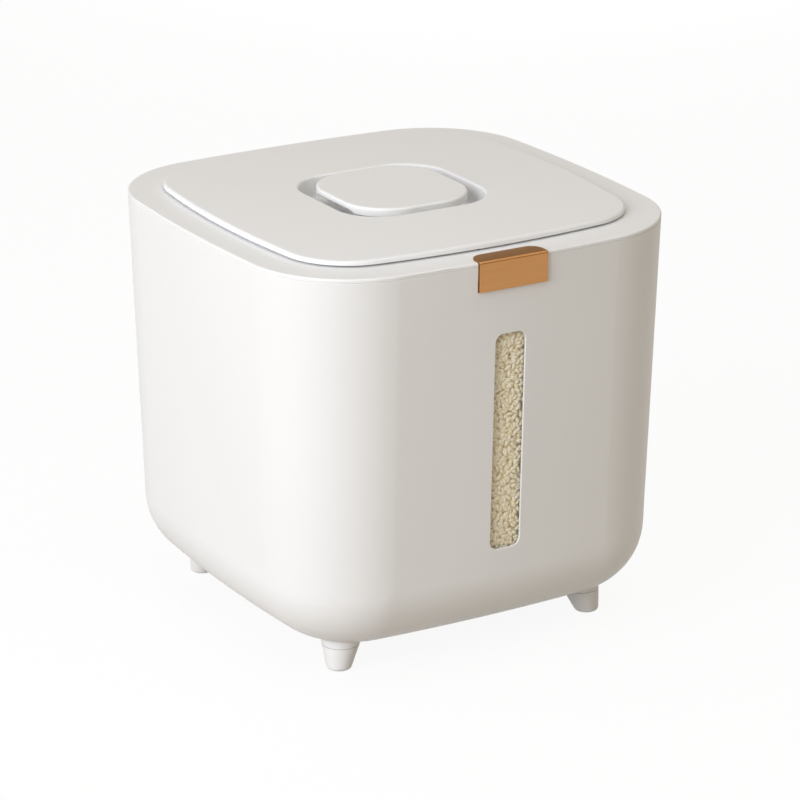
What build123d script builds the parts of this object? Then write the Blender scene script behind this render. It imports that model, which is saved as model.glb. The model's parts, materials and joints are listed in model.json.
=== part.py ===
from build123d import *
from math import radians, sqrt, tan
import os

# Bin: overall form in millimetres, front towards -Y, floor at Z = 0
bin_width = 260.0
bin_height = 241.8
underside_height = 16.4
draft_angle = 1.812
side_bow_radius = 1010.0
corner_radius = 62.0
bottom_radius = 40.0
shell_wall = 2.5

# Clearances and cuts
overrun = 1.0
slide_gap = 0.3
snug_gap = 0.05
shaft_gap = 0.03

# Rim collar: a plate on the shell's edge, a skirt inside the wall and a throat round the mouth
collar_edge = 2.4
collar_round = 1.1
skirt_gap = 0.2
skirt_wall = 2.0
skirt_depth = 9.0
throat_wall = 2.0
throat_depth = 14.5
rib_wall = 1.6
rib_offset = 62.0

# Lid panel: a shallow tray turned over, with a dish for the grip
rim_margin = 19.0
lid_bow_radius = 575.0
lid_corner_radius = 40.0
lid_lift = 1.2
lid_edge = 3.0
lid_crown = 1.3
lid_round = 1.5
lid_skin = 2.0
lid_lip = 2.4
lid_overlap = 14.5

# Dish and grip plate
dish_width = 93.0
dish_length = 92.0
dish_corner = 27.0
dish_depth = 12.3
dish_wall = 2.2
dish_taper = 12.0
dish_lip_round = 1.4
dish_floor_round = 3.5
grip_width = 77.0
grip_length = 80.0
grip_corner = 28.0
grip_rise = 1.3
grip_thickness = 4.8
grip_round = 1.3
neck_width = 46.0
neck_length = 70.0
neck_corner = 18.0
neck_round = 2.0
scoop_radius = 6.0
scoop_edge = 2.2
scoop_reach = 3.5
scoop_length = 36.0
grip_screw_x = 13.0
grip_screw_y = 22.0

# Lid liner: a flange under the lid's skin and a plug that closes the throat
liner_flange = 1.6
liner_rise = 0.5
liner_wall = 2.0
plug_clearance = 1.8
plug_depth = 13.9
plug_round = 3.0
screw_seat_radius = 5.5
screw_seat_height = 4.0
liner_screw_inset = 24.7

# Lid seal: a band in the plug's groove with two lips
seal_height = 6.0
seal_drop = 5.0
seal_seat = 0.8
seal_band = 0.6
seal_lip = 1.0
seal_reach_gap = 0.3

# Lid hinge: two knuckles on the lid between pairs of knuckles on the collar
hinge_behind = 5.0
hinge_drop = 1.7
knuckle_radius = 3.1
knuckle_offset = 27.0
lid_knuckle_width = 13.0
collar_knuckle_width = 7.0
knuckle_root = 1.5
knuckle_root_rise = 1.0
knuckle_gap = 0.4
pin_radius = 1.5
pin_recess = 2.0

# Push button: a gold cap drawn in one piece on a plastic slider
button_width = 43.4
button_low_drop = 16.7
button_proud = 1.3
button_plate = 1.5
button_top_plate = 0.6
button_top_depth = 13.1
button_rear_round = 7.5
button_return = 2.6
button_return_wall = 1.0
button_bevel = 0.65
button_groove = 0.4
button_groove_land = 0.15
button_gap = 0.3
button_travel = 2.5
button_edge_round = 0.35
peg_radius = 1.5
peg_length = 3.0
peg_offset = 14.0
slider_inset = 1.5
slider_plate = 2.0
slider_arm_width = 4.0
slider_arm_height = 5.0
slider_arm_offset = 12.0

# Latch housing under the collar, with its sprung leaf
housing_width = 58.0
housing_wall = 1.5
housing_depth = 16.4
ear_length = 12.0
ear_width = 9.0
ear_thickness = 1.8
ear_drop = 12.4
ear_post_radius = 3.5
leaf_thickness = 0.5
leaf_width = 30.0
leaf_base = 11.0
leaf_screw_set = 7.0
leaf_post_radius = 2.8
leaf_post_depth = 4.2

# Lid striker: a tongue with a tooth that the leaf hooks over
striker_width = 16.0
striker_thickness = 2.5
striker_drop = 10.3
striker_flange = 1.5
striker_flange_width = 30.0
striker_flange_length = 9.0
tooth_width = 12.0
tooth_reach = 1.8
tooth_height = 3.2
tooth_land = 1.2
stake_radius = 1.5
stake_offset = 11.0
leaf_hook = 1.6
slot_margin = 1.2

# Window in the front wall
window_width = 19.0
window_height = 127.6
window_corner = 5.0
window_drop = 43.4
window_round = 0.5
window_lip = 0.9
window_rebate = 4.0
window_flange = 7.0
window_pane_wall = 1.4
window_side_wall = 0.9
gasket_thickness = 0.8

# Feet: bosses on the shell, splayed feet pushed in below them and rubber pads
foot_inset = 49.7
foot_height = 14.6
foot_splay = 3.0
foot_top_radius = 10.9
foot_low_radius = 6.9
foot_round = 2.2
foot_lift = 0.6
foot_seam = 0.35
foot_seam_depth = 1.0
boss_height = 10.0
boss_round = 1.2
seam_chamfer = 0.35
spigot_radius = 6.0
spigot_length = 2.4
pad_radius = 3.8
pad_depth = 2.0

# Screws, all alike: pan head and plain shank
screw_head_radius = 2.75
screw_head_height = 1.8
screw_shank_radius = 1.25
screw_length = 9.5
screw_hole_gap = 0.35
screw_recess_radius = 3.3
recess_slot_width = 0.7
recess_slot_length = 3.2
recess_slot_depth = 0.8
leaf_screw_length = 5.0

# Heights and places that follow from the sizes above
shell_top = bin_height - collar_edge
half_width = bin_width / 2
lid_half = half_width - rim_margin
lid_low = bin_height + lid_lift
lid_top = lid_low + lid_edge
lid_peak = lid_top + lid_crown
crown_radius = (lid_half**2 + lid_crown**2) / (2 * lid_crown)
skin_low = lid_top - lid_skin
throat_inset = lid_overlap
throat_low = bin_height - throat_depth
dish_floor = lid_peak - dish_depth
dish_under = dish_floor - dish_wall
grip_top = lid_peak + grip_rise
grip_low = grip_top - grip_thickness
liner_low = bin_height + liner_rise
liner_top = liner_low + liner_flange
plug_low = bin_height - plug_depth
plug_inset = throat_inset + plug_clearance
plug_floor = plug_low + liner_wall
seal_top = bin_height - seal_drop
seal_low = seal_top - seal_height
hinge_y = lid_half + hinge_behind
hinge_z = bin_height - hinge_drop
button_low = bin_height - button_low_drop
button_top_low = bin_height + snug_gap * 4
button_top = button_top_low + button_top_plate
button_front = -half_width - button_proud
button_back = button_front + button_plate
button_return_back = button_back + button_return
button_groove_top = button_top - button_bevel - button_groove_land
housing_low = shell_top - snug_gap * 2 - housing_depth
housing_floor = housing_low + housing_wall
housing_top = shell_top - snug_gap * 2
wall_draw = (bin_height - housing_low) * tan(radians(draft_angle))
housing_sag = (housing_width / 2)**2 / (2 * side_bow_radius)
housing_front = -half_width + shell_wall + wall_draw + housing_sag + slide_gap
slider_front = housing_front + slide_gap
housing_back = -lid_half + throat_inset - throat_wall - slide_gap
ear_top = shell_top - ear_drop
ear_low = ear_top - ear_thickness
ear_x = housing_width / 2 + ear_length / 2
ear_y = (housing_front + housing_back) / 2
tongue_front = -lid_half + lid_lip + slide_gap
tongue_back = tongue_front + striker_thickness
tooth_tip = tongue_back + tooth_reach
tongue_low = liner_low - striker_drop
tooth_top = tongue_low + tooth_height
leaf_front = tooth_tip + slide_gap * 2
leaf_back = leaf_front + leaf_thickness
hook_low = tooth_top + slide_gap
hook_high = hook_low + leaf_thickness
foot_place = half_width - foot_inset
foot_places = [(x, y) for y in (-foot_place, foot_place) for x in (-foot_place, foot_place)]
pad_place = foot_place + foot_splay
pad_places = [(x, y) for y in (-pad_place, pad_place) for x in (-pad_place, pad_place)]
foot_rise = foot_height - foot_lift
foot_lean = foot_splay / foot_rise / foot_place
boss_top_radius = foot_top_radius + boss_height * (foot_top_radius - foot_low_radius) / foot_rise
window_mid = bin_height - window_drop - window_height / 2
liner_screw_place = lid_half - lid_overlap - liner_screw_inset
liner_screw_places = [(x, y) for y in (-liner_screw_place, liner_screw_place)
                      for x in (-liner_screw_place, liner_screw_place)]
grip_screw_places = [(x, y) for y in (-grip_screw_y, grip_screw_y) for x in (-grip_screw_x, grip_screw_x)]
standing = (Align.CENTER, Align.CENTER, Align.MIN)


# Flat outline of four bowed sides joined by tangent corner arcs
def bowed_face(half, bow, corner):
    offset = half - bow
    reach = bow - corner
    centre = (offset + sqrt(2 * reach**2 - offset**2)) / 2
    touch_x = bow * centre / reach
    touch_y = bow * (offset - centre) / reach - offset
    corner_mid = centre + corner / sqrt(2)
    side = ThreePointArc((-touch_x, touch_y), (0, -half), (touch_x, touch_y))
    turn = ThreePointArc((touch_x, touch_y), (corner_mid, -corner_mid), (-touch_y, -touch_x))
    edges = []
    for quarter in range(4):
        place = Rotation(0, 0, 90 * quarter)
        edges += [place * side, place * turn]
    return Face(Wire(edges))


# The bin's outline at the rim, and the lid's, drawn in by an inset
def bin_face(inset):
    return bowed_face(half_width - inset, side_bow_radius - inset, corner_radius - inset)


def lid_face(inset):
    return bowed_face(lid_half - inset, lid_bow_radius - inset, lid_corner_radius - inset)


def slab(face, low, high):
    return extrude(Pos(0, 0, low) * face, amount=high - low, dir=(0, 0, 1))


def lid_ring(outer_inset, inner_inset, low, high):
    return slab(lid_face(outer_inset), low, high) - slab(lid_face(inner_inset), low - overrun, high + overrun)


# The bin's drafted form between two heights, drawn in by an inset
def drafted(inset, low, high):
    draw_in = (bin_height - high) * tan(radians(draft_angle))
    face = Pos(0, 0, high) * bin_face(inset + draw_in)
    return extrude(face, amount=high - low, dir=(0, 0, -1), taper=draft_angle)


# The drafted form with its rounded bottom edge
def vessel(inset, high):
    form = drafted(inset, underside_height + inset, high)
    low_edges = form.faces().sort_by(Axis.Z)[0].edges()
    return fillet(low_edges, bottom_radius - inset)


# Everything of the bin's form between two insets
def wall_layer(outer_inset, inner_inset):
    return vessel(outer_inset, shell_top) - vessel(inner_inset, shell_top + overrun)


def block(x_span, y_span, z_span):
    spans = (x_span, y_span, z_span)
    middle = [(low + high) / 2 for low, high in spans]
    size = [high - low for low, high in spans]
    return Pos(*middle) * Box(*size)


def rod(x, y, low, high, radius):
    return Pos(x, y, low) * Cylinder(radius, high - low, align=standing)


def cross_rod(x_low, x_high, y, z, radius):
    return Pos(x_low, y, z) * Rotation(0, 90, 0) * Cylinder(radius, x_high - x_low, align=standing)


# A rounded slot through the front wall, grown by a margin
def front_slot(margin):
    shape = RectangleRounded(window_width + margin * 2, window_height + margin * 2, window_corner + margin)
    outside = -half_width - overrun
    through = shell_wall + window_pane_wall + gasket_thickness
    depth = overrun + through + bottom_radius
    plane = Plane(origin=(0, outside, window_mid), x_dir=(1, 0, 0), z_dir=(0, 1, 0))
    return extrude(plane * shape, amount=depth, dir=(0, 1, 0))


# A sketch in the YZ plane pulled out evenly to both sides of the middle
def side_profile(points, width):
    flat = Face(Wire.make_polygon([(0, y, z) for y, z in points], close=True))
    return Pos(-width / 2, 0, 0) * extrude(flat, amount=width, dir=(1, 0, 0))


# A pan-head screw pointing up from a seat height, or down when turned over
def screw(length):
    head = Pos(0, 0, -screw_head_height) * Cylinder(screw_head_radius, screw_head_height, align=standing)
    rim = head.edges().filter_by(GeomType.CIRCLE).sort_by(Axis.Z)[0]
    head = fillet(rim, screw_head_height / 3)
    for turn in (0, 90):
        cut = Box(recess_slot_length, recess_slot_width, recess_slot_depth * 2)
        head -= Pos(0, 0, -screw_head_height) * Rotation(0, 0, turn) * cut
    return head + Cylinder(screw_shank_radius, length, align=standing)


def screw_group(places, seat, length):
    return Compound([Pos(x, y, seat) * screw(length).solid() for x, y in places])


# A round stem between two heights that leans outwards on its way down
def leaning(x, y, low, high, low_radius, high_radius):
    discs = []
    for z, radius in ((low, low_radius), (high, high_radius)):
        outward = 1 + (foot_height - z) * foot_lean
        discs.append(Pos(x * outward, y * outward, z) * Circle(radius))
    return loft(discs, ruled=True)


# Shell: the vessel with its foot bosses, rebated window slot and button cut-out
def body_shell():
    shell = vessel(0, shell_top)
    boss_top = foot_height + boss_height
    for x, y in foot_places:
        shell += leaning(x, y, foot_height, boss_top, foot_top_radius, boss_top_radius)
    shell = fillet(boss_roots(shell), boss_round)
    shell = chamfer(shell.faces().sort_by(Axis.Z)[-1].edges(), seam_chamfer)
    shell -= vessel(shell_wall, shell_top + overrun)
    socket_top = foot_height + spigot_length + snug_gap
    for x, y in foot_places:
        shell -= rod(x, y, foot_height - overrun, socket_top, spigot_radius + snug_gap)
    shell -= front_slot(0)
    shell = fillet(window_edges(shell), window_round)
    shell -= wall_layer(window_lip, shell_wall + overrun) & front_slot(window_rebate)
    side = button_width / 2 + button_gap
    across = (-half_width - overrun, -half_width + shell_wall * 3)
    return shell - block((-side, side), across, (button_low - button_gap, shell_top + overrun))


# The edges where the foot bosses meet the vessel's underside
def boss_roots(shell):
    found = []
    for edge in shell.edges():
        box = edge.bounding_box()
        in_height = box.min.Z > foot_height + snug_gap and box.max.Z < foot_height + boss_height
        near = [abs(abs(spot) - foot_place) < boss_top_radius for spot in (box.center().X, box.center().Y)]
        if in_height and all(near) and max(box.size.X, box.size.Y) < boss_top_radius * 3:
            found.append(edge)
    return found


# The slot's edges on the shell's outer face
def window_edges(shell):
    found = []
    for edge in shell.edges():
        spot = edge.center()
        face_y = -half_width + (bin_height - spot.Z) * tan(radians(draft_angle))
        in_width = abs(spot.X) < window_width / 2 + overrun
        in_height = abs(spot.Z - window_mid) < window_height / 2 + overrun
        if in_width and in_height and abs(spot.Y - face_y) < shell_wall / 2:
            found.append(edge)
    return found


# Collar: rim plate, skirt inside the shell, throat wall, ribs and hinge knuckles
def rim_collar():
    plate = slab(bin_face(0), shell_top, bin_height)
    plate = fillet(plate.faces().sort_by(Axis.Z)[-1].edges(), collar_round)
    plate = chamfer(plate.faces().sort_by(Axis.Z)[0].edges(), seam_chamfer)
    skirt_out = shell_wall + skirt_gap
    skirt = drafted(skirt_out, shell_top - skirt_depth, shell_top + collar_edge / 2)
    skirt -= drafted(skirt_out + skirt_wall, shell_top - skirt_depth - overrun, shell_top + collar_edge)
    collar = plate + skirt
    collar += lid_ring(throat_inset - throat_wall, throat_inset, throat_low, shell_top + collar_edge / 2)
    collar += collar_ribs()
    collar -= slab(lid_face(throat_inset), throat_low - overrun, bin_height + overrun)
    room = housing_width / 2 + ear_length + slide_gap
    front = (-half_width - overrun, housing_back)
    collar -= block((-room, room), front, (shell_top - skirt_depth - overrun, shell_top))
    side = button_width / 2 + button_gap
    through = (shell_top - overrun, bin_height + overrun)
    notch_back = button_return_back + button_travel + button_gap
    collar -= block((-side, side), (-half_width - overrun, notch_back), through)
    slot_side = striker_width / 2 + slot_margin
    slot_y = (tongue_front - slot_margin, leaf_back + slot_margin)
    collar -= block((-slot_side, slot_side), slot_y, through)
    bore_top = ear_low + screw_length + overrun
    for x in (-ear_x, ear_x):
        collar += rod(x, ear_y, ear_top, shell_top + collar_edge / 2, ear_post_radius)
        collar -= rod(x, ear_y, ear_top - overrun, bore_top, screw_shank_radius + snug_gap)
    return hinged(collar)


def collar_ribs():
    ribs = []
    inner = lid_half - throat_inset + throat_wall / 2
    sag = rib_offset**2 / (2 * side_bow_radius)
    outer = half_width - shell_wall - skirt_gap - skirt_wall / 2 - sag
    for quarter in range(4):
        for x in (-rib_offset, rib_offset):
            rib = block((x - rib_wall / 2, x + rib_wall / 2), (inner, outer),
                        (shell_top - skirt_depth, shell_top + collar_edge / 2))
            ribs.append(Rotation(0, 0, 90 * quarter) * rib)
    return ribs


# Pairs of knuckles on the collar with a notch between them for the lid's knuckle
def hinged(collar):
    notch = lid_knuckle_width / 2 + knuckle_gap
    end = notch + collar_knuckle_width
    reach = knuckle_radius + knuckle_gap
    for x in (-knuckle_offset, knuckle_offset):
        collar += cross_rod(x - end, x + end, hinge_y, hinge_z, knuckle_radius)
        collar -= block((x - notch, x + notch), (hinge_y - reach, hinge_y + reach),
                        (hinge_z - reach, hinge_z + reach))
        collar -= cross_rod(x - end - overrun, x + end + overrun, hinge_y, hinge_z, pin_radius + snug_gap / 5)
    return collar


def hinge_pin(x):
    end = lid_knuckle_width / 2 + knuckle_gap + collar_knuckle_width - pin_recess
    pin = cross_rod(x - end, x + end, hinge_y, hinge_z, pin_radius)
    return chamfer(pin.edges().filter_by(GeomType.CIRCLE), pin_radius / 4)


# Window pane: a tray in the rebate behind the slot's lip, with a flange behind the wall
def window_pane():
    front = window_lip + snug_gap
    seat = shell_wall + snug_gap + gasket_thickness
    back = seat + window_pane_wall
    margin = window_rebate - slide_gap
    raised = wall_layer(front, seat + snug_gap * 2) & front_slot(margin)
    flange = wall_layer(seat + snug_gap, back) & front_slot(window_flange)
    hollow = wall_layer(front + window_pane_wall, back + overrun)
    return raised + flange - (hollow & front_slot(margin - window_side_wall))


def window_gasket():
    ring = wall_layer(shell_wall + snug_gap, shell_wall + snug_gap + gasket_thickness)
    return (ring & front_slot(window_flange)) - front_slot(window_rebate)


# Foot: a leaning stem with a shadow line below the boss, a spigot and a seat for its pad
def foot(x, y, pad_x, pad_y):
    stem = leaning(x, y, foot_lift, foot_height, foot_low_radius, foot_top_radius)
    stem = fillet(stem.faces().sort_by(Axis.Z)[0].edges(), foot_round)
    line = rod(x, y, foot_height - foot_seam, foot_height + overrun, foot_top_radius + overrun)
    line -= rod(x, y, foot_height - overrun, foot_height + overrun * 2, foot_top_radius - foot_seam_depth)
    stem -= line
    stem += rod(x, y, foot_height - overrun, foot_height + spigot_length, spigot_radius)
    return stem - rod(pad_x, pad_y, 0, foot_lift + pad_depth, pad_radius + snug_gap)


def foot_pads():
    pad = Cylinder(pad_radius, foot_lift + pad_depth - snug_gap, align=standing)
    low = pad.edges().filter_by(GeomType.CIRCLE).sort_by(Axis.Z)[0]
    pad = chamfer(low, foot_lift / 2)
    return Compound([Pos(x, y, 0) * pad.solid() for x, y in pad_places])


# Lid panel: tray, dish, screw posts, striker stakes and hinge knuckles
def lid_panel():
    crown = Pos(0, 0, lid_peak - crown_radius) * Rotation(90, 0, 0) * Sphere(crown_radius)
    panel = slab(lid_face(0), lid_low, lid_peak) & crown
    panel = fillet(panel.faces().sort_by(Axis.Z)[-1].edges(), lid_round)
    panel -= slab(lid_face(lid_lip), lid_low - overrun, skin_low)
    bowl = RectangleRounded(dish_width, dish_length, dish_corner)
    pan = RectangleRounded(dish_width + dish_wall * 2, dish_length + dish_wall * 2, dish_corner + dish_wall)
    pan_top = skin_low + lid_skin / 2
    down = (0, 0, -1)
    panel += extrude(Pos(0, 0, pan_top) * pan, amount=pan_top - dish_under, dir=down, taper=dish_taper)
    hollow = extrude(Pos(0, 0, lid_peak) * bowl, amount=dish_depth, dir=down, taper=dish_taper)
    panel -= fillet(hollow.faces().sort_by(Axis.Z)[0].edges(), dish_floor_round)
    lip = panel.faces().sort_by(Axis.Z)[-1].inner_wires()[0]
    panel = fillet(lip.edges(), dish_lip_round)
    for x, y in liner_screw_places:
        panel += rod(x, y, plug_low + screw_seat_height + snug_gap, skin_low + lid_skin / 2, ear_post_radius)
        panel -= rod(x, y, plug_low, plug_low + screw_head_height + screw_length + overrun,
                     screw_shank_radius + snug_gap)
    for x, y in grip_screw_places:
        panel -= rod(x, y, dish_under - overrun, dish_floor + overrun, screw_shank_radius + screw_hole_gap)
    for x in (-stake_offset, stake_offset):
        panel += rod(x, stake_y(), liner_top - striker_flange, skin_low + lid_skin / 2, stake_radius)
    return knuckled(panel)


def stake_y():
    return tongue_front + striker_flange_length / 2


def knuckled(panel):
    half = lid_knuckle_width / 2
    edge = lid_half - knuckle_offset**2 / (2 * lid_bow_radius)
    near = edge - lid_lip / 2
    for x in (-knuckle_offset, knuckle_offset):
        span = (x - half, x + half)
        panel += block(span, (near, edge + knuckle_root), (liner_low, lid_low + knuckle_root_rise))
        panel += block(span, (near, hinge_y), (liner_low, hinge_z + knuckle_radius))
        panel += cross_rod(x - half, x + half, hinge_y, hinge_z, knuckle_radius)
        panel -= cross_rod(x - half - overrun, x + half + overrun, hinge_y, hinge_z, pin_radius + shaft_gap)
    return panel


# Grip: a plate held clear of the dish by a narrower neck
def grip_plate():
    plate = slab(RectangleRounded(grip_width, grip_length, grip_corner).face(), grip_low, grip_top)
    plate = fillet(plate.faces().sort_by(Axis.Z)[-1].edges(), grip_round)
    stem = RectangleRounded(neck_width, neck_length, neck_corner).face()
    grip = plate + slab(stem, dish_floor, grip_low + overrun)
    root = [e for e in grip.edges() if abs(e.center().Z - grip_low) < snug_gap
            and abs(e.center().X) <= neck_width / 2 and abs(e.center().Y) <= neck_length / 2]
    grip = fillet(root, neck_round)
    for side in (-1, 1):
        grip -= finger_scoop(side)
    bore_top = dish_under + screw_length + overrun
    for x, y in grip_screw_places:
        grip -= rod(x, y, dish_floor - overrun, bore_top, screw_shank_radius + snug_gap)
    return grip


# A hollow with round ends under one side of the grip, for the fingertips
def finger_scoop(side):
    x = side * (grip_width / 2 + scoop_radius - scoop_reach)
    z = grip_top - scoop_edge - scoop_radius
    half = scoop_length / 2
    scoop = Pos(x, 0, z) * Rotation(90, 0, 0) * Cylinder(scoop_radius, scoop_length)
    for y in (-half, half):
        scoop += Pos(x, y, z) * Sphere(scoop_radius)
    return scoop


# Liner: flange under the skin, plug with a seal groove, seats for its screws
def lid_liner():
    liner = slab(lid_face(lid_lip + slide_gap), liner_low, liner_top)
    plug = slab(lid_face(plug_inset), plug_low, liner_top)
    plug = fillet(plug.faces().sort_by(Axis.Z)[0].edges(), plug_round)
    liner += plug
    liner -= slab(lid_face(plug_inset + liner_wall), plug_floor, liner_top + overrun)
    liner -= lid_ring(plug_inset - seal_seat, plug_inset + seal_seat, seal_low, seal_top)
    room = striker_flange_width / 2 + slide_gap
    back = tongue_front + striker_flange_length + slide_gap
    liner -= block((-room, room), (-lid_half, back), (liner_low - overrun, liner_top + overrun))
    seat_top = plug_low + screw_seat_height
    recess_top = plug_low + screw_head_height + snug_gap
    for x, y in liner_screw_places:
        liner += rod(x, y, plug_low, seat_top, screw_seat_radius)
        liner -= rod(x, y, plug_low - overrun, recess_top, screw_recess_radius)
        liner -= rod(x, y, plug_low, seat_top + overrun, screw_shank_radius + screw_hole_gap)
    return liner


# Seal: a band that fills the groove, with a lip near its top and one near its foot
def lid_seal():
    foot_z = seal_low + snug_gap
    head_z = seal_top - snug_gap
    band = lid_ring(plug_inset - seal_band, plug_inset + seal_seat - snug_gap, foot_z, head_z)
    reach = throat_inset + seal_reach_gap
    for low in (foot_z, head_z - seal_lip):
        band += lid_ring(reach, plug_inset, low, low + seal_lip)
    return band


# Striker: flange staked under the lid's skin, tongue and hooked tooth
def lid_striker():
    flange_low = liner_top - striker_flange
    half = striker_flange_width / 2
    flange_back = tongue_front + striker_flange_length
    striker = block((-half, half), (tongue_front, flange_back), (flange_low, liner_top))
    for x in (-stake_offset, stake_offset):
        striker -= rod(x, stake_y(), flange_low - overrun, liner_top + overrun, stake_radius + snug_gap)
    tongue = striker_width / 2
    striker += block((-tongue, tongue), (tongue_front, tongue_back), (tongue_low, flange_low + snug_gap))
    tooth = [(tongue_back - snug_gap, tongue_low), (tongue_back, tongue_low),
             (tooth_tip, tooth_top - tooth_land), (tooth_tip, tooth_top), (tongue_back - snug_gap, tooth_top)]
    return striker + side_profile(tooth, tooth_width)


# Cap: front and top plates with returns at the sides and foot in one drawn piece, and two pegs behind
def button_cap():
    half = button_width / 2
    inner = half - button_return_wall
    rear = button_front + button_top_depth
    front = block((-half, half), (button_front, button_return_back), (button_low, button_top))
    top = block((-half, half), (button_front, rear), (button_top_low, button_top))
    corners = top.edges().filter_by(Axis.Z).group_by(Axis.Y)[-1]
    cap = front + fillet(corners, button_rear_round)
    bend = [e for e in cap.edges().filter_by(Axis.X)
            if abs(e.center().Y - button_front) < snug_gap and abs(e.center().Z - button_top) < snug_gap]
    cap = chamfer(bend, button_bevel)
    outer = cap.faces().sort_by(Axis.Y)[0].edges() + cap.faces().sort_by(Axis.Z)[-1].edges()
    rim = [e for e in outer if not is_bend(e)]
    rim += [e for e in cap.edges() if is_bend(e) and abs(e.center().X) > inner]
    cap = fillet(rim, button_edge_round)
    cap -= block((-inner, inner), (button_back, button_return_back + overrun),
                 (button_low + button_return_wall, button_top_low))
    cap -= block((-half - overrun, half + overrun), (button_front - overrun, button_front + button_groove),
                 (button_groove_top - button_groove, button_groove_top))
    for x in (-peg_offset, peg_offset):
        cap += peg(x, peg_radius, button_back - snug_gap, button_back + peg_length)
    return cap


# Whether an edge bounds the bevel between the cap's two plates
def is_bend(edge):
    spot = edge.center()
    near_front = spot.Y < button_front + button_plate
    return near_front and spot.Z > button_top - button_plate


def peg(x, radius, front, back):
    middle = (button_low + shell_top) / 2
    return Pos(x, front, middle) * Rotation(-90, 0, 0) * Cylinder(radius, back - front, align=standing)


# Slider: block behind the cap, guide plate in the housing and two arms that push the leaf
def button_slider():
    half = button_width / 2 - slider_inset
    plate_back = slider_front + slider_plate
    low = button_low + slider_inset
    high = shell_top - slide_gap
    slider = block((-half, half), (button_back, plate_back), (low, high))
    guide = housing_width / 2 - housing_wall - slide_gap
    slider += block((-guide, guide), (slider_front, plate_back), (housing_floor + slide_gap, high))
    arm_low = (housing_floor + high - slider_arm_height) / 2
    for side in (-1, 1):
        near = side * slider_arm_offset - slider_arm_width / 2
        slider += block((near, near + slider_arm_width), (slider_front, leaf_front - slide_gap),
                        (arm_low, arm_low + slider_arm_height))
    for x in (-peg_offset, peg_offset):
        slider -= peg(x, peg_radius + snug_gap, button_back - overrun, button_back + peg_length + snug_gap)
    return slider


# Housing: a channel that keeps rice out of the latch, with two ears for its screws
def latch_housing():
    half = housing_width / 2
    inner = half - housing_wall
    along = (housing_front, housing_back)
    past = (along[0] - overrun, along[1] + overrun)
    housing = block((-half, half), along, (housing_low, housing_top))
    housing -= block((-inner, inner), past, (housing_floor, housing_top + overrun))
    across = (ear_y - ear_width / 2, ear_y + ear_width / 2)
    for side in (-1, 1):
        span = sorted((side * (half - housing_wall / 2), side * (half + ear_length)))
        ear = block(span, across, (ear_low, ear_top - snug_gap))
        bore = screw_shank_radius + screw_hole_gap
        housing += ear - rod(side * ear_x, ear_y, ear_low - overrun, ear_top + overrun, bore)
    post_low = housing_low - leaf_post_depth
    housing += rod(0, leaf_screw_y(), post_low, housing_floor, leaf_post_radius)
    return housing - rod(0, leaf_screw_y(), post_low + overrun, housing_top, screw_shank_radius + snug_gap)


def leaf_screw_y():
    return leaf_back - leaf_screw_set


# Leaf: base on the housing's floor, upright and a hook over the striker's tooth
def latch_leaf():
    base_top = housing_floor + leaf_thickness
    points = [(leaf_back - leaf_base, housing_floor), (leaf_back, housing_floor), (leaf_back, hook_high),
              (leaf_front - leaf_hook - slide_gap, hook_high), (leaf_front - leaf_hook - slide_gap, hook_low),
              (leaf_front, hook_low), (leaf_front, base_top), (leaf_back - leaf_base, base_top)]
    leaf = side_profile(points, leaf_width)
    return leaf - rod(0, leaf_screw_y(), housing_low, base_top + overrun, screw_shank_radius + snug_gap)


def leaf_screw():
    seat = housing_floor + leaf_thickness
    return Pos(0, leaf_screw_y(), seat) * Rotation(180, 0, 0) * screw(leaf_screw_length)


parts = {
    "body_shell": body_shell(),
    "rim_collar": rim_collar(),
    "window_pane": window_pane(),
    "window_gasket": window_gasket(),
    "foot_front_left": foot(*foot_places[0], *pad_places[0]),
    "foot_front_right": foot(*foot_places[1], *pad_places[1]),
    "foot_rear_left": foot(*foot_places[2], *pad_places[2]),
    "foot_rear_right": foot(*foot_places[3], *pad_places[3]),
    "foot_pads": foot_pads(),
    "hinge_pin_left": hinge_pin(-knuckle_offset),
    "hinge_pin_right": hinge_pin(knuckle_offset),
    "lid_panel": lid_panel(),
    "lid_liner": lid_liner(),
    "lid_seal": lid_seal(),
    "lid_striker": lid_striker(),
    "liner_screws": screw_group(liner_screw_places, plug_low + screw_head_height + snug_gap, screw_length),
    "grip_plate": grip_plate(),
    "grip_screws": screw_group(grip_screw_places, dish_under, screw_length),
    "button_cap": button_cap(),
    "button_slider": button_slider(),
    "latch_housing": latch_housing(),
    "housing_screws": screw_group([(-ear_x, ear_y), (ear_x, ear_y)], ear_low, screw_length),
    "latch_leaf": latch_leaf(),
    "leaf_screw": leaf_screw(),
}

os.makedirs("parts", exist_ok=True)
for name, piece in parts.items():
    export_step(piece, f"parts/{name}.step")
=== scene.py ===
import json
import math
import random

import bmesh
import bpy
from mathutils import Euler, Matrix, Vector


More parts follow.
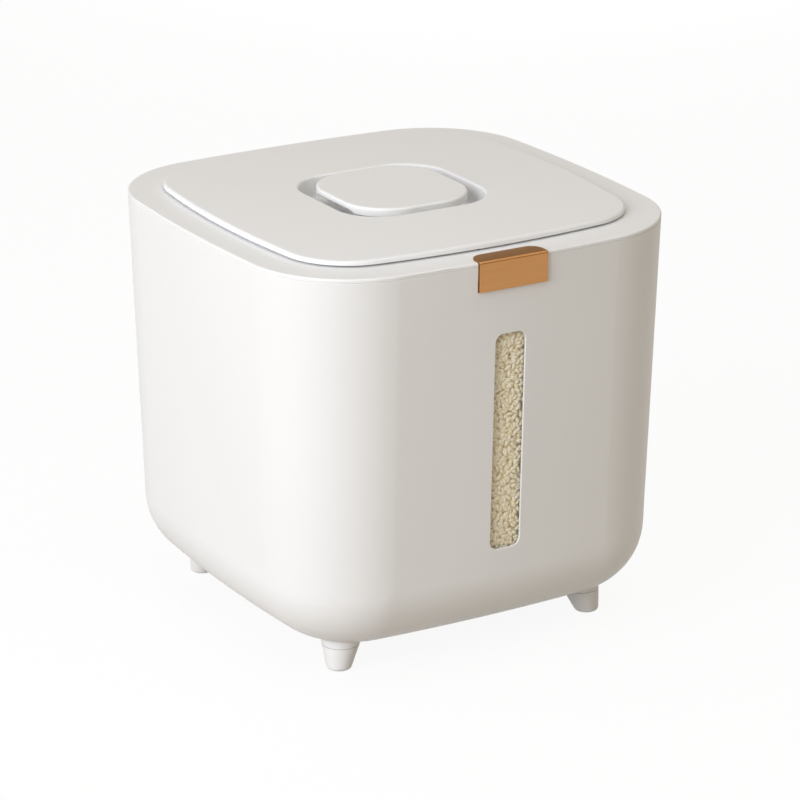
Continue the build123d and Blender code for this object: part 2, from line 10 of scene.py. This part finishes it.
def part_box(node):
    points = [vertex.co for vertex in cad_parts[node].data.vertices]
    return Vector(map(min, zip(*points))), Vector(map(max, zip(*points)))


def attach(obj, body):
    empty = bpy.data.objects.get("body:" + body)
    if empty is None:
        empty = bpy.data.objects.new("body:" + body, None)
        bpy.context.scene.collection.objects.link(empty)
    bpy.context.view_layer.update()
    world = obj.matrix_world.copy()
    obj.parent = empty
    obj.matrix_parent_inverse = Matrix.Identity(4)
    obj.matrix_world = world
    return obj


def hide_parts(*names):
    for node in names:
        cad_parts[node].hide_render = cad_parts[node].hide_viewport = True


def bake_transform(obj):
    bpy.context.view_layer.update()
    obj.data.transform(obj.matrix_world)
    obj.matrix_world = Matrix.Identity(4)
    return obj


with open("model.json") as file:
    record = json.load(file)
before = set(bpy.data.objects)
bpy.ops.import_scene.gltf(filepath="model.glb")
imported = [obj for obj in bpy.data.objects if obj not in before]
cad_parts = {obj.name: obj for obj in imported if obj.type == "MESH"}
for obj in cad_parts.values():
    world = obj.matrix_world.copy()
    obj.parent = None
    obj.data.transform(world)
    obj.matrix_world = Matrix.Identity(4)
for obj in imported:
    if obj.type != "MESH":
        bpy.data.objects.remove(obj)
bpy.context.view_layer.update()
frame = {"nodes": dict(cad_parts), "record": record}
nodes = frame["nodes"]
print("frame loaded with", len(nodes), "nodes")


# a value on its way through a node tree, so that shader sums read as Python
class Flow:
    def __init__(self, paint, socket):
        self.paint = paint
        self.socket = socket

    def sum(self, operation, first, second):
        return self.paint.add("Math", {"operation": operation}, {0: first, 1: second})

    def __add__(self, other):
        return self.sum("ADD", self, other)

    def __radd__(self, other):
        return self.sum("ADD", other, self)

    def __mul__(self, other):
        return self.sum("MULTIPLY", self, other)

    def __rmul__(self, other):
        return self.sum("MULTIPLY", other, self)


# the node tree of one material, or of the room around the bin
class Paint:
    def __init__(self, owner, output="OutputMaterial"):
        self.owner = owner
        self.output = output
        owner.use_nodes = True
        self.tree = owner.node_tree
        self.tree.nodes.clear()

    # settings come first, then the sockets take their values or links
    def add(self, kind, settings=None, sockets=None, out=0):
        node = self.tree.nodes.new("ShaderNode" + kind)
        for key, value in (settings or {}).items():
            if key == "stops":
                self.setStops(node.color_ramp.elements, value)
            else:
                setattr(node, key, value)
        for key, value in (sockets or {}).items():
            if isinstance(value, Flow):
                self.tree.links.new(value.socket, node.inputs[key])
            else:
                node.inputs[key].default_value = value
        return Flow(self, node.outputs[out]) if node.outputs else None

    def setStops(self, elements, stops):
        while len(elements) < len(stops):
            elements.new(1.0)
        for element, (place, colour) in zip(elements, stops):
            element.position = place
            element.color = colour

    def place(self, stretch=(1.0, 1.0, 1.0)):
        spot = self.add("TexCoord", out="Object")
        return self.add("Mapping", None, {"Vector": spot, "Scale": stretch})

    def noise(self, place, scale, detail):
        return self.add("TexNoise", None, {"Vector": place, "Scale": scale, "Detail": detail})

    def blend(self, share, first, second):
        return self.add("Mix", {"data_type": "RGBA"}, {0: share, 6: first, 7: second}, out=2)

    def bump(self, height, strength, distance):
        return self.add("Bump", None, {"Height": height, "Strength": strength, "Distance": distance})

    def close(self, shader):
        self.add(self.output, None, {"Surface": shader})
        return self.owner


# moulded plastic: a slow drift of tone and gloss, a fine spark-eroded grain and a faint ripple
def mouldedPlastic(name, look):
    paint = Paint(bpy.data.materials.new(name))
    spot = paint.place()
    drift = paint.noise(spot, *look["drift"])
    ripple = paint.noise(spot, *look["ripple"])
    grain = paint.noise(spot, *look["grain"])
    height = grain * look["grainShare"] + ripple
    shader = paint.add("BsdfPrincipled", None, {
        "Base Color": paint.blend(drift, look["colour"], look["drifted"]),
        "Roughness": look["gloss"] + drift * look["glossDrift"] + grain * look["glossGrain"],
        "Normal": paint.bump(height, look["bumpStrength"], look["bumpDepth"]),
        "IOR": look["ior"],
    })
    return paint.close(shader)


# in every look, drift, ripple, grain and the like are noises, each a scale and a detail
shellLook = {
    "colour": (0.850, 0.848, 0.844, 1), "drifted": (0.830, 0.828, 0.823, 1), "drift": (9.0, 3.0),
    "ripple": (160.0, 1.0), "grain": (2200.0, 2.0), "grainShare": 0.35, "gloss": 0.36, "glossDrift": 0.06,
    "glossGrain": 0.08, "bumpStrength": 0.10, "bumpDepth": 0.0004, "ior": 1.50,
}
innerLook = dict(shellLook, colour=(0.82, 0.815, 0.80, 1), drifted=(0.80, 0.793, 0.775, 1), gloss=0.42)
siliconeLook = dict(
    shellLook, colour=(0.76, 0.76, 0.74, 1), drifted=(0.71, 0.71, 0.69, 1), gloss=0.55, grain=(1400.0, 2.0),
)
padLook = dict(
    shellLook, colour=(0.17, 0.17, 0.17, 1), drifted=(0.13, 0.13, 0.13, 1), gloss=0.62, grain=(1200.0, 2.0),
    bumpStrength=0.25,
)


# brushed metal: fine lines along X, a little uneven in colour and gloss, with a slow cloud over them
def brushedMetal(name, look):
    paint = Paint(bpy.data.materials.new(name))
    cloud = paint.noise(paint.place(), *look["cloud"])
    lines = paint.noise(paint.place(look["stretch"]), *look["lines"])
    shader = paint.add("BsdfPrincipled", None, {
        "Base Color": paint.blend(lines, look["colour"], look["lined"]),
        "Metallic": 1.0,
        "Roughness": look["gloss"] + lines * look["glossLines"] + cloud * look["glossCloud"],
        "Normal": paint.bump(lines, look["bumpStrength"], look["bumpDepth"]),
    })
    return paint.close(shader)


goldLook = {
    "colour": (0.57, 0.285, 0.108, 1), "lined": (0.475, 0.228, 0.085, 1), "cloud": (60.0, 2.0),
    "stretch": (0.02, 1.0, 1.0), "lines": (2600.0, 4.0), "gloss": 0.24, "glossLines": 0.12,
    "glossCloud": 0.06, "bumpStrength": 0.12, "bumpDepth": 0.0001,
}
steelLook = dict(
    goldLook, colour=(0.56, 0.57, 0.58, 1), lined=(0.44, 0.45, 0.46, 1), gloss=0.26, bumpStrength=0.08,
)


# clear plastic: mostly see-through, glossy, with a few faint wipe marks in its gloss
def clearPlastic(name, look):
    paint = Paint(bpy.data.materials.new(name))
    wipes = paint.noise(paint.place(look["stretch"]), *look["wipes"])
    shader = paint.add("BsdfPrincipled", None, {
        "Base Color": look["colour"],
        "Roughness": look["gloss"] + wipes * look["glossWipes"],
        "Alpha": look["cover"],
        "IOR": look["ior"],
    })
    return paint.close(shader)


paneLook = {
    "colour": (0.80, 0.79, 0.74, 1), "stretch": (1.0, 1.0, 0.15), "wipes": (220.0, 3.0), "gloss": 0.06,
    "glossWipes": 0.08, "cover": 0.06, "ior": 1.49,
}


# polished rice: cream, chalky patches about a grain long, a soft waxy gloss
def polishedRice(name, look):
    paint = Paint(bpy.data.materials.new(name))
    spot = paint.place()
    patch = paint.noise(spot, *look["patch"])
    fleck = paint.noise(spot, *look["fleck"])
    shader = paint.add("BsdfPrincipled", None, {
        "Base Color": paint.add("ValToRGB", {"stops": look["tones"]}, {"Fac": patch}),
        "Roughness": look["gloss"] + fleck * look["glossFleck"],
        "Normal": paint.bump(fleck, look["bumpStrength"], look["bumpDepth"]),
    })
    return paint.close(shader)


riceLook = {
    "tones": [(0.30, (0.91, 0.80, 0.54, 1)), (0.50, (0.96, 0.87, 0.64, 1)), (0.72, (0.98, 0.94, 0.80, 1))],
    "patch": (330.0, 2.0), "fleck": (1500.0, 2.0), "gloss": 0.34, "glossFleck": 0.16, "bumpStrength": 0.10,
    "bumpDepth": 0.0002,
}

finishes = {
    "rice": polishedRice("riceGrain", riceLook),
    "white_shell": mouldedPlastic("shellPlastic", shellLook),
    "white_inner": mouldedPlastic("innerPlastic", innerLook),
    "gold": brushedMetal("brushedGold", goldLook),
    "clear_window": clearPlastic("clearPane", paneLook),
    "silicone": mouldedPlastic("paleSilicone", siliconeLook),
    "foot_rubber": mouldedPlastic("padRubber", padLook),
    "steel": brushedMetal("brushedSteel", steelLook),
}
for subpart in frame["record"]["subparts"]:
    mesh = nodes[subpart["node"]].data
    mesh.materials.clear()
    mesh.materials.append(finishes[subpart["material_slot"]])


def meshFrom(name, bm):
    mesh = bpy.data.meshes.new(name)
    bm.to_mesh(mesh)
    bm.free()
    return mesh


def putIn(name, data):
    thing = bpy.data.objects.new(name, data)
    bpy.context.scene.collection.objects.link(thing)
    return thing


def meshPiece(name, bm, slotName, rounded=True):
    mesh = meshFrom(name, bm)
    for face in mesh.polygons:
        face.use_smooth = rounded
    mesh.materials.append(finishes[slotName])
    piece = putIn(name, mesh)
    return piece


# the rice: a bed that fills the shell, grains pressed against the window and grains lying on the bed
grainSize = {
    "halfLength": 0.0025, "halfWidth": 0.00142, "halfThick": 0.00125, "tip": 0.2, "spineShare": 0.75,
    "cellsAround": 2,
}
shell = nodes["body_shell"]
pane = nodes["window_pane"]


# one grain lying along X, drawn in a little towards its tips
def grainMesh(sides, rings):
    bm = bmesh.new()
    bmesh.ops.create_uvsphere(bm, u_segments=sides, v_segments=rings, radius=1.0)
    for vert in bm.verts:
        drawn = 1.0 - grainSize["tip"] * vert.co.z ** 2
        along = vert.co.z * grainSize["halfLength"]
        across = vert.co.x * drawn * grainSize["halfWidth"]
        vert.co = (along, across, vert.co.y * drawn * grainSize["halfThick"])
    return meshFrom("oneGrain", bm)


# a point near each tip and the middle, by which grains keep clear of each other
def spine(place):
    reach = grainSize["halfLength"] * grainSize["spineShare"]
    return [place @ Vector((along, 0, 0)) for along in (-reach, 0, reach)]


# grains laid in cells: of a few tries each takes the one that lies furthest from its neighbours
def layGrains(cells, tries, tryPlace):
    around = range(-grainSize["cellsAround"], grainSize["cellsAround"] + 1)
    laid = {}
    for column, row in cells:
        near = [
            point for right in around for up in around
            for point in laid.get((column + right, row + up), (None, ()))[1]
        ]
        best = None
        for attempt in range(tries):
            place = tryPlace((column, row))
            if place is None:
                continue
            points = spine(place)
            clear = min(((point - other).length for point in points for other in near), default=math.inf)
            if best is None or clear > best[0]:
                best = (clear, place, points)
        if best:
            laid[column, row] = best[1:]
    return [place for place, points in laid.values()]


def shuffledCells(draw, wide, deep):
    cells = [(column, row) for column in range(wide) for row in range(deep)]
    draw.shuffle(cells)
    return cells


# a place near the middle of a cell, counted from the first cell's corner
def nearMiddle(draw, rice, cell, corner):
    jitter = rice["cell"] * rice["jitter"]
    return [
        start + (index + 0.5) * rice["cell"] + draw.uniform(-jitter, jitter)
        for start, index in zip(corner, cell)
    ]


def grainsPiece(name, places, rice):
    one = grainMesh(rice["sides"], rice["rings"])
    bm = bmesh.new()
    for place in places:
        copy = one.copy()
        copy.transform(place)
        bm.from_mesh(copy)
        bpy.data.meshes.remove(copy)
    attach(meshPiece(name, bm, "rice"), "bin")


bedRice = {
    "level": 0.2044, "floorGap": 0.0006, "wallShare": 0.988, "backing": 0.0012, "sides": 384, "levels": 16,
    "crowding": 2, "caps": 10,
}
# waves in the bed's top, in radians a metre
bedWaves = {
    "height": 0.0016, "wideX": 31.0, "wideY": 27.0, "startX": 0.6, "startY": -0.4, "fineX": 63.0,
    "fineY": 51.0, "fineShare": 0.5,
}


# how far the rice reaches from the bin's axis at a height, in one direction
def wallReach(angle, z):
    outward = Vector((math.cos(angle), math.sin(angle), 0))
    reaches = []
    for wall, backed in ((shell, 0.0), (pane, bedRice["backing"])):
        hit, point = wall.ray_cast(Vector((0, 0, z)), outward)[:2]
        if hit:
            reaches.append(point.xy.length - backed)
    return min(reaches) * bedRice["wallShare"] if reaches else None


# the bed's gently uneven top
def bedHeight(x, y):
    wideX = math.sin(x * bedWaves["wideX"] + bedWaves["startX"])
    wideY = math.cos(y * bedWaves["wideY"] + bedWaves["startY"])
    fine = math.sin(x * bedWaves["fineX"] + y * bedWaves["fineY"])
    return bedRice["level"] + bedWaves["height"] * (wideX * wideY + bedWaves["fineShare"] * fine)


def growRing(bm, edges):
    grown = bmesh.ops.extrude_edge_only(bm, edges=edges)["geom"]
    ring = {item for item in grown if isinstance(item, bmesh.types.BMVert)}
    edges = [item for item in grown if isinstance(item, bmesh.types.BMEdge)]
    return ring, [edge for edge in edges if all(vert in ring for vert in edge.verts)]


# sets a ring out to the wall, or to a share of the way there
def setRing(ring, z, share=1.0, heightAt=None):
    for vert in ring:
        angle = math.atan2(vert.co.y, vert.co.x)
        reach = wallReach(angle, z) * share
        x, y = reach * math.cos(angle), reach * math.sin(angle)
        vert.co = (x, y, heightAt(x, y) if heightAt else z)


def buildRiceBed():
    level, levels, caps = bedRice["level"], bedRice["levels"], bedRice["caps"]
    hit, point = shell.ray_cast(Vector((0, 0, level)), Vector((0, 0, -1)))[:2]
    bottom = point.z + bedRice["floorGap"]
    bm = bmesh.new()
    bmesh.ops.create_circle(bm, segments=bedRice["sides"], radius=1.0, cap_ends=True)
    setRing(bm.verts, bottom + bedRice["floorGap"])
    edges = list(bm.edges)
    # the rings crowd together near the floor, where the shell's corner curves in
    for step in range(1, levels + 1):
        ring, edges = growRing(bm, edges)
        setRing(ring, bottom + (level - bottom) * (step / levels) ** bedRice["crowding"])
    for step in range(1, caps):
        ring, edges = growRing(bm, edges)
        setRing(ring, level, 1.0 - step / caps, bedHeight)
    bmesh.ops.holes_fill(bm, edges=edges, sides=bedRice["sides"])
    bmesh.ops.recalc_face_normals(bm, faces=bm.faces)
    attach(meshPiece("rice_bed", bm, "rice"), "bin")
    print("rice bed from", round(bottom, 4), "to", level)


windowRice = {
    "seed": 11, "cell": 0.0028, "jitter": 0.45, "tries": 16, "margin": 0.0004, "reach": 0.0012,
    "layers": (0.0013, 0.0024), "tilt": 0.12, "spread": 0.14, "sides": 8, "rings": 6,
}


# the pane's inner face at x and z, found from inside the bin
def paneInside(x, z):
    hit, point = pane.ray_cast(Vector((x, 0, z)), Vector((0, -1, 0)))[:2]
    return point if hit else None


# a grain lies nearly flat behind the pane, and none where the pane ends beside it
def windowPlace(draw, cell, corner, depth):
    x, z = nearMiddle(draw, windowRice, cell, corner)
    reach = windowRice["reach"]
    face = paneInside(x, z)
    beside = [paneInside(x + step, z) for step in (-reach, reach)]
    if None in (face, *beside) or max(point.y for point in beside) > face.y + reach / 2:
        return None
    turn = Euler((
        draw.uniform(-math.pi, math.pi), draw.uniform(-math.pi, math.pi), draw.gauss(0, windowRice["tilt"]),
    ), "XYZ")
    sunk = depth * (1.0 + draw.uniform(0, windowRice["spread"]))
    return Matrix.Translation(face + Vector((0, sunk, 0))) @ turn.to_matrix().to_4x4()


def buildWindowRice():
    draw = random.Random(windowRice["seed"])
    low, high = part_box("window_pane")
    edge = windowRice["margin"] + grainSize["halfWidth"]
    corner = (low.x + edge, low.z + edge)
    wide = int((high.x - low.x - 2 * edge) / windowRice["cell"])
    tall = int((high.z - low.z - 2 * edge) / windowRice["cell"])
    places = []
    for depth in windowRice["layers"]:
        cells = shuffledCells(draw, wide, tall)
        places += layGrains(cells, windowRice["tries"], lambda cell: windowPlace(draw, cell, corner, depth))
    grainsPiece("rice_window_grains", places, windowRice)
    print("window grains:", len(places))


topRice = {
    "seed": 23, "cell": 0.0036, "jitter": 0.45, "tries": 5, "tilt": 0.35, "lift": 0.4, "spread": 0.15,
    "sides": 6, "rings": 4, "directions": 16,
}


# a grain lies at any turn on the bed, partly sunk in it and clear of the wall
def topPlace(draw, cell, corner):
    x, y = nearMiddle(draw, topRice, cell, corner)
    reach = wallReach(math.atan2(y, x), bedRice["level"])
    if reach is None or math.hypot(x, y) > reach - grainSize["halfLength"]:
        return None
    turn = Euler((
        draw.uniform(-math.pi, math.pi), draw.gauss(0, topRice["tilt"]), draw.uniform(-math.pi, math.pi),
    ), "XYZ")
    lift = grainSize["halfThick"] * (topRice["lift"] + draw.uniform(0, topRice["spread"]))
    return Matrix.Translation((x, y, bedHeight(x, y) + lift)) @ turn.to_matrix().to_4x4()


def buildTopRice():
    draw = random.Random(topRice["seed"])
    directions = topRice["directions"]
    half = max(wallReach(math.tau * turn / directions, bedRice["level"]) for turn in range(directions))
    count = int(2 * half / topRice["cell"])
    cells = shuffledCells(draw, count, count)
    places = layGrains(cells, topRice["tries"], lambda cell: topPlace(draw, cell, (-half, -half)))
    grainsPiece("rice_top_grains", places, topRice)
    print("top grains:", len(places))


buildRiceBed()
buildWindowRice()
buildTopRice()


# the latch's sprung leaf: the solid's own shape, cut across in even steps up to where the pressed button
# pushes it
leafSpring = {"cuts": 12, "merge": 1e-6, "pushedFrom": 0.2290}


def buildSprungLeaf():
    low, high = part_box("latch_leaf")
    bm = bmesh.new()
    bm.from_mesh(nodes["latch_leaf"].data)
    bmesh.ops.remove_doubles(bm, verts=bm.verts, dist=leafSpring["merge"])
    for cut in range(1, leafSpring["cuts"] + 1):
        height = low.z + (leafSpring["pushedFrom"] - low.z) * cut / leafSpring["cuts"]
        geometry = [*bm.verts, *bm.edges, *bm.faces]
        bmesh.ops.bisect_plane(bm, geom=geometry, plane_co=(0, 0, height), plane_no=(0, 0, 1))
    leaf = meshPiece("latch_leaf_sprung", bm, "steel", rounded=False)
    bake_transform(leaf)
    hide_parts("latch_leaf")
    print("latch leaf cut for its bend,", len(leaf.data.vertices), "points")


buildSprungLeaf()


# the camera stands where the photograph was taken from
view = {
    "azimuth": -30.38, "elevation": 19.77, "distance": 2.0533, "target": (0, 0, 0.1196), "lens": 158.9,
    "sensor": 36.0, "shiftX": 0.0104,
}


def pointAlong(thing, direction):
    thing.rotation_euler = direction.to_track_quat("-Z", "Y").to_euler()


def placeCamera():
    azimuth, elevation = math.radians(view["azimuth"]), math.radians(view["elevation"])
    back = Vector((
        math.sin(azimuth) * math.cos(elevation),
        -math.cos(azimuth) * math.cos(elevation),
        math.sin(elevation),
    ))
    data = bpy.data.cameras.new("camera")
    data.sensor_width, data.lens, data.shift_x = view["sensor"], view["lens"], view["shiftX"]
    camera = putIn("camera", data)
    camera.location = Vector(view["target"]) + back * view["distance"]
    pointAlong(camera, -back)
    bpy.context.scene.camera = camera


# a large soft lamp on the left, two overhead, and a low one behind that keeps the far sides pale
lamps = {
    "key": {"place": (-1.83, -0.69, 0.90), "size": 1.5, "power": 33.2, "colour": (0.96, 1.0, 1.05)},
    "over": {"place": (0.0, 0.1, 2.2), "size": 1.6, "power": 8.0, "colour": (0.98, 1.0, 1.06)},
    "top": {"place": (0.80, -0.62, 1.92), "size": 1.0, "power": 3.3, "colour": (1.0, 0.99, 0.97)},
    "back": {
        "place": (1.10, 1.65, 0.11), "size": 0.2, "power": 9.0, "colour": (0.97, 1.0, 1.05),
        "mirrored": False,  # or it glints along the lid's rear edge
    },
}


def placeLamp(name, lamp):
    data = bpy.data.lights.new(name, "AREA")
    data.size, data.energy, data.color = lamp["size"], lamp["power"], lamp["colour"]
    thing = putIn(name, data)
    thing.location = lamp["place"]
    thing.visible_glossy = lamp.get("mirrored", True)
    pointAlong(thing, Vector(view["target"]) - Vector(lamp["place"]))


# the floor's own colour is what lights the bin from below, and the seen ones are what the camera gets
floor = {
    "half": 60.0, "colour": (0.46, 0.405, 0.335, 1), "seenColour": (0.95, 0.94, 0.93, 1),
    "seen": (1, 1, 1, 1), "shadowShare": 0.08,
}


# what the camera, a reflection or a clear pane sees, apart from what lights the bin
def seenRays(paint):
    camera, mirrored, through = [
        paint.add("LightPath", out=name) for name in ("Is Camera Ray", "Is Glossy Ray", "Is Transmission Ray")
    ]
    return paint.add("Math", {"operation": "ADD", "use_clamp": True}, {0: camera + mirrored, 1: through})


def layFloor():
    bm = bmesh.new()
    bmesh.ops.create_grid(bm, x_segments=1, y_segments=1, size=floor["half"])
    mesh = meshFrom("floor", bm)
    paint = Paint(bpy.data.materials.new("paleFloor"))
    bounce = paint.add("BsdfDiffuse", None, {"Color": floor["colour"]})
    shaded = paint.add("BsdfDiffuse", None, {"Color": floor["seenColour"]})
    white = paint.add("Emission", None, {"Color": floor["seen"], "Strength": 1.0})
    pale = paint.add("MixShader", None, {0: floor["shadowShare"], 1: white, 2: shaded})
    surface = paint.add("MixShader", None, {0: seenRays(paint), 1: bounce, 2: pale})
    mesh.materials.append(paint.close(surface))
    putIn("floor", mesh)


# the room's glow, in steps from low on the right to high on the left
room = {
    "brightSide": (-0.78, -0.15, 0.60),
    "glow": [
        (0.0, (0.90, 0.88, 0.84, 1)), (0.26, (0.34, 0.30, 0.22, 1)), (0.40, (0.33, 0.27, 0.165, 1)),
        (0.52, (0.365, 0.304, 0.20, 1)), (0.85, (0.54, 0.53, 0.535, 1)),
    ],
}


def lightRoom():
    paint = Paint(bpy.data.worlds.new("softRoom"), "OutputWorld")
    towards = paint.add("TexCoord", out="Generated")
    lean = paint.add(
        "VectorMath", {"operation": "DOT_PRODUCT"}, {0: towards, 1: room["brightSide"]}, out="Value",
    )
    share = lean * 0.5 + 0.5  # from -1 to 1 into the ramp's 0 to 1
    glow = paint.add("ValToRGB", {"stops": room["glow"]}, {"Fac": share})
    bpy.context.scene.world = paint.close(paint.add("Background", None, {"Color": glow, "Strength": 1.0}))


placeCamera()
for lampName, lamp in lamps.items():
    placeLamp(lampName, lamp)
layFloor()
lightRoom()
bpy.context.scene.view_settings.view_transform = "Standard"
print("camera, lamps and floor set")
